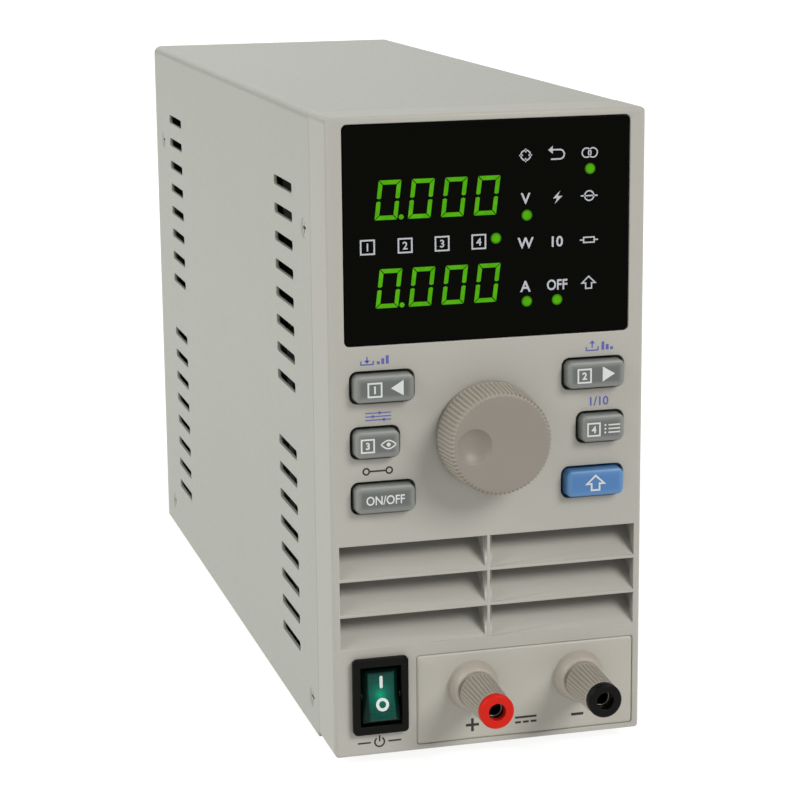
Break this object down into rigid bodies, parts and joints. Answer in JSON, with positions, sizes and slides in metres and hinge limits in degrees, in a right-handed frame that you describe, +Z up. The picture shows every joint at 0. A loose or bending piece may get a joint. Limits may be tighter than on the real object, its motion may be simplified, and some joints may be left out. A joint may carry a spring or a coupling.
{
  "type": "dc electronic load",
  "caption": "Bench DC electronic load: tall narrow instrument case with LED read-out, push keys, control knob, air louvres, rocker power switch and binding posts.",
  "frame": {"origin": "middle of the instrument's footprint box, on the plane its rubber feet stand on", "axes": "+Z up, -Y towards the viewer of the front panel, +X to that viewer's right"},
  "size_m": [0.0888, 0.2938, 0.1795],
  "materials": {
    "cover_paint": "satin, fine texture",
    "bezel_plastic": "fine moulded grain",
    "window_acrylic": "gloss",
    "knob_plastic": "satin",
    "key_grey": "satin",
    "key_blue": "satin",
    "switch_black": "semi gloss",
    "rocker_green": "translucent, lit",
    "post_red": "gloss",
    "post_black": "gloss",
    "nickel": "plated",
    "screw_steel": "zinc plated",
    "sheet_steel": "zinc plated",
    "black_steel": "black",
    "brass": "plain",
    "aluminium": "extruded",
    "board_green": "solder mask",
    "black_plastic": "moulded",
    "led_green": "diffused",
    "rubber": "matt",
    "capacitor_sleeve": "sleeve",
    "core_steel": "laminated",
    "copper_wire": "enamelled",
    "cable_pvc": "PVC",
    "harness_pvc": "PVC",
    "ribbon_grey": "flat cable",
    "fuse_glass": "clear",
    "selector_red": "gloss"
  },
  "bodies": {
    "case": {"front_bezel": "bezel_plastic", "display_window": "window_acrylic", "terminal_plate": "bezel_plastic", "top_cover": "cover_paint", "chassis_tray": "sheet_steel", "front_subpanel": "black_steel", "rear_panel": "cover_paint", "cover_screws": "screw_steel", "chassis_screws": "screw_steel", "rubber_feet": "rubber", "display_board": "board_green", "board_screws": "screw_steel", "digit_modules": "black_plastic", "indicator_leds": "led_green", "key_switches": "black_plastic", "encoder_body": "sheet_steel", "switch_housing": "switch_black", "switch_terminals": "brass", "post_collars": "knob_plastic", "post_studs": "nickel", "post_bushes": "knob_plastic", "post_nuts": "brass", "solder_lugs": "nickel", "input_cables": "cable_pvc", "heat_sink": "aluminium", "sink_brackets": "aluminium", "power_transistors": "black_plastic", "standoffs": "brass", "main_board": "board_green", "terminal_block": "black_plastic", "capacitors": "capacitor_sleeve", "transformer_core": "core_steel", "transformer_winding": "copper_wire", "ribbon_cable": "ribbon_grey", "mains_harness": "harness_pvc", "fan_frame": "black_plastic", "fan_guard": "nickel", "fan_screws": "screw_steel", "mains_inlet": "black_plastic", "inlet_pins": "nickel", "selector_body": "black_plastic"},
    "knob": {"control_knob": "knob_plastic", "encoder_shaft": "nickel"},
    "left_key": {"key_left": "key_grey"},
    "right_key": {"key_right": "key_grey"},
    "view_key": {"key_view": "key_grey"},
    "mode_key": {"key_mode": "key_grey"},
    "on_off_key": {"key_on_off": "key_grey"},
    "shift_key": {"key_shift": "key_blue"},
    "rocker": {"power_rocker": "rocker_green"},
    "washer_pos": {"clamp_washer_pos": "nickel"},
    "washer_neg": {"clamp_washer_neg": "nickel"},
    "cap_pos": {"post_cap_pos": "knob_plastic", "post_ring_pos": "post_red"},
    "cap_neg": {"post_cap_neg": "knob_plastic", "post_ring_neg": "post_black"},
    "fan": {"fan_rotor": "black_plastic"},
    "selector": {"selector_slider": "selector_red"},
    "drawer": {"fuse_drawer": "black_plastic", "fuse": "fuse_glass"}
  },
  "joints": [
    {"name": "knob_turn", "type": "hinge", "parent": "case", "child": "knob", "pos_m": [0, -0.13023, 0.092], "axis": [0, 1, 0], "continuous": true},
    {"name": "left_key_press", "type": "slide", "parent": "case", "child": "left_key", "axis": [0, 1, 0], "range_m": [0, 0.001], "stiffness_N_per_m": 1600, "springref_m": -0.0005},
    {"name": "right_key_press", "type": "slide", "parent": "case", "child": "right_key", "axis": [0, 1, 0], "range_m": [0, 0.001], "stiffness_N_per_m": 1600, "springref_m": -0.0005},
    {"name": "view_key_press", "type": "slide", "parent": "case", "child": "view_key", "axis": [0, 1, 0], "range_m": [0, 0.001], "stiffness_N_per_m": 1600, "springref_m": -0.0005},
    {"name": "mode_key_press", "type": "slide", "parent": "case", "child": "mode_key", "axis": [0, 1, 0], "range_m": [0, 0.001], "stiffness_N_per_m": 1600, "springref_m": -0.0005},
    {"name": "on_off_key_press", "type": "slide", "parent": "case", "child": "on_off_key", "axis": [0, 1, 0], "range_m": [0, 0.001], "stiffness_N_per_m": 1600, "springref_m": -0.0005},
    {"name": "shift_key_press", "type": "slide", "parent": "case", "child": "shift_key", "axis": [0, 1, 0], "range_m": [0, 0.001], "stiffness_N_per_m": 1600, "springref_m": -0.0005},
    {"name": "rocker_tip", "type": "hinge", "parent": "case", "child": "rocker", "pos_m": [-0.0315, -0.12423, 0.02065], "axis": [1, 0, 0], "range_deg": [0, 21]},
    {"name": "washer_pos_run", "type": "slide", "parent": "case", "child": "washer_pos", "axis": [0, -1, 0], "range_m": [0, 0.003]},
    {"name": "cap_pos_turn", "type": "hinge", "parent": "washer_pos", "child": "cap_pos", "pos_m": [-0.00465, -0.13623, 0.0205], "axis": [0, -1, 0], "range_deg": [0, 1100]},
    {"name": "washer_neg_run", "type": "slide", "parent": "case", "child": "washer_neg", "axis": [0, -1, 0], "range_m": [0, 0.003]},
    {"name": "cap_neg_turn", "type": "hinge", "parent": "washer_neg", "child": "cap_neg", "pos_m": [0.02615, -0.13623, 0.0205], "axis": [0, -1, 0], "range_deg": [0, 1100]},
    {"name": "fan_spin", "type": "hinge", "parent": "case", "child": "fan", "pos_m": [0, 0.12878, 0.057], "axis": [0, 1, 0], "continuous": true},
    {"name": "selector_slide", "type": "slide", "parent": "case", "child": "selector", "axis": [0, 0, 1], "range_m": [0, 0.0068]},
    {"name": "drawer_pull", "type": "slide", "parent": "case", "child": "drawer", "axis": [0, 1, 0], "range_m": [0, 0.014]}
  ],
  "couplings": [
    {"joint": "cap_pos_turn", "follows": "washer_pos_run", "rad_per_m": 6283.2},
    {"joint": "cap_neg_turn", "follows": "washer_neg_run", "rad_per_m": 6283.2}
  ]
}
